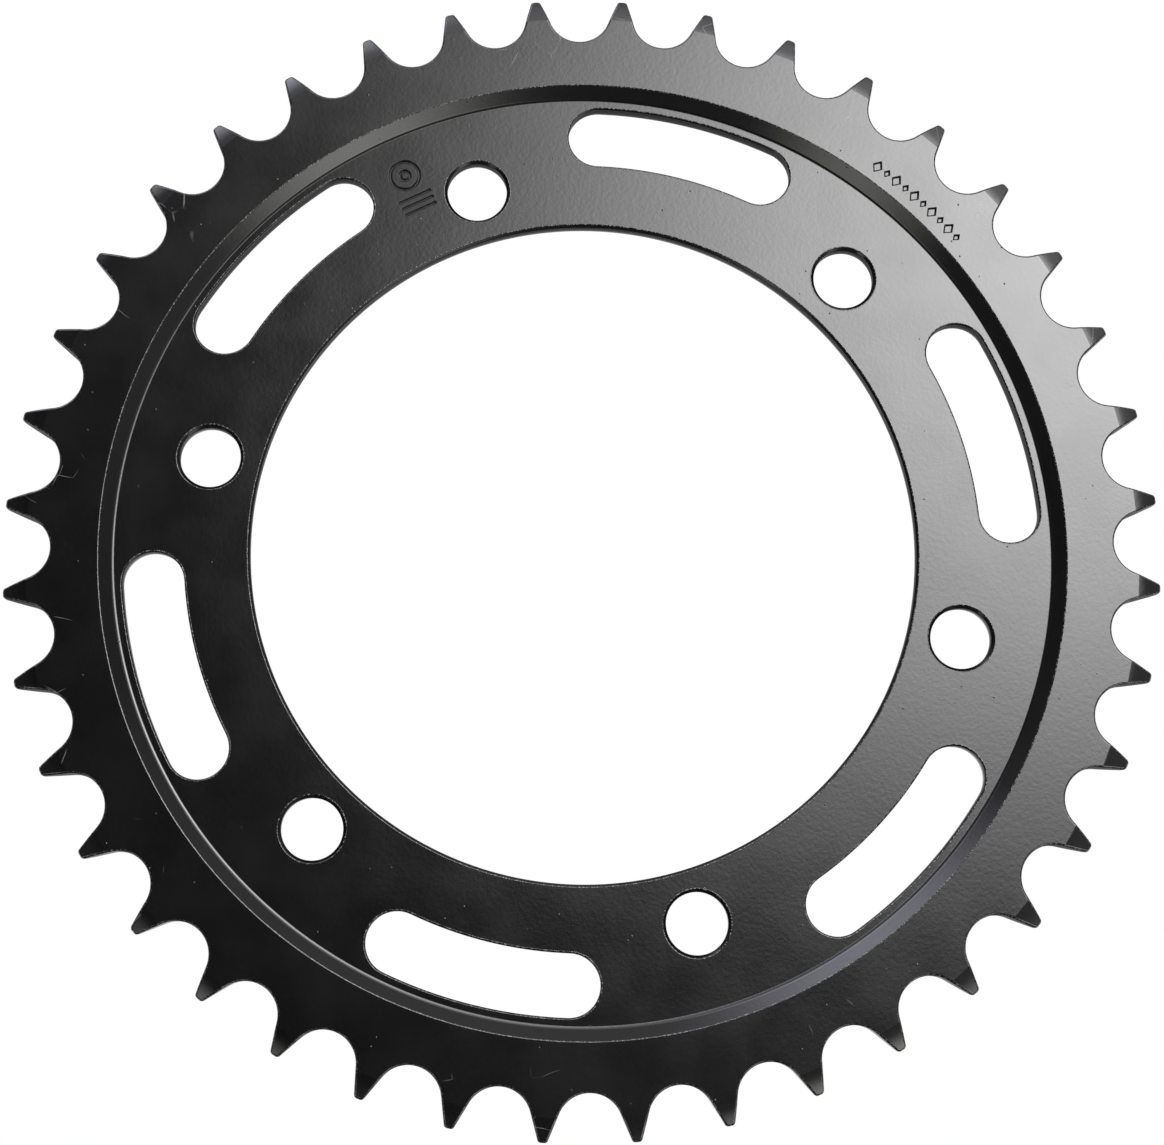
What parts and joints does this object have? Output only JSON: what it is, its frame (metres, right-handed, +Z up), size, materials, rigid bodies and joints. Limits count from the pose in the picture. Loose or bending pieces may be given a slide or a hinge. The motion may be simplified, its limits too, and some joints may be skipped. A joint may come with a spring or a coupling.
{
  "type": "rear chain sprocket",
  "caption": "Flat steel chain sprocket ring with a recessed inner disc, round bolt holes, curved lightening slots and a large centre bore.",
  "frame": {"origin": "on the axle axis, half way through the thickness of the toothed ring", "axes": "+Y is the axle axis and points out of the flat back face that sits on the wheel carrier; the recessed front face looks towards -Y; +Z is up; the tooth gaps lie on X and Z"},
  "size_m": [0.209, 0.0058, 0.209],
  "materials": {
    "black_paint": "semi-gloss"
  },
  "bodies": {
    "root": {"sprocket_plate": "black_paint"}
  },
  "joints": []
}
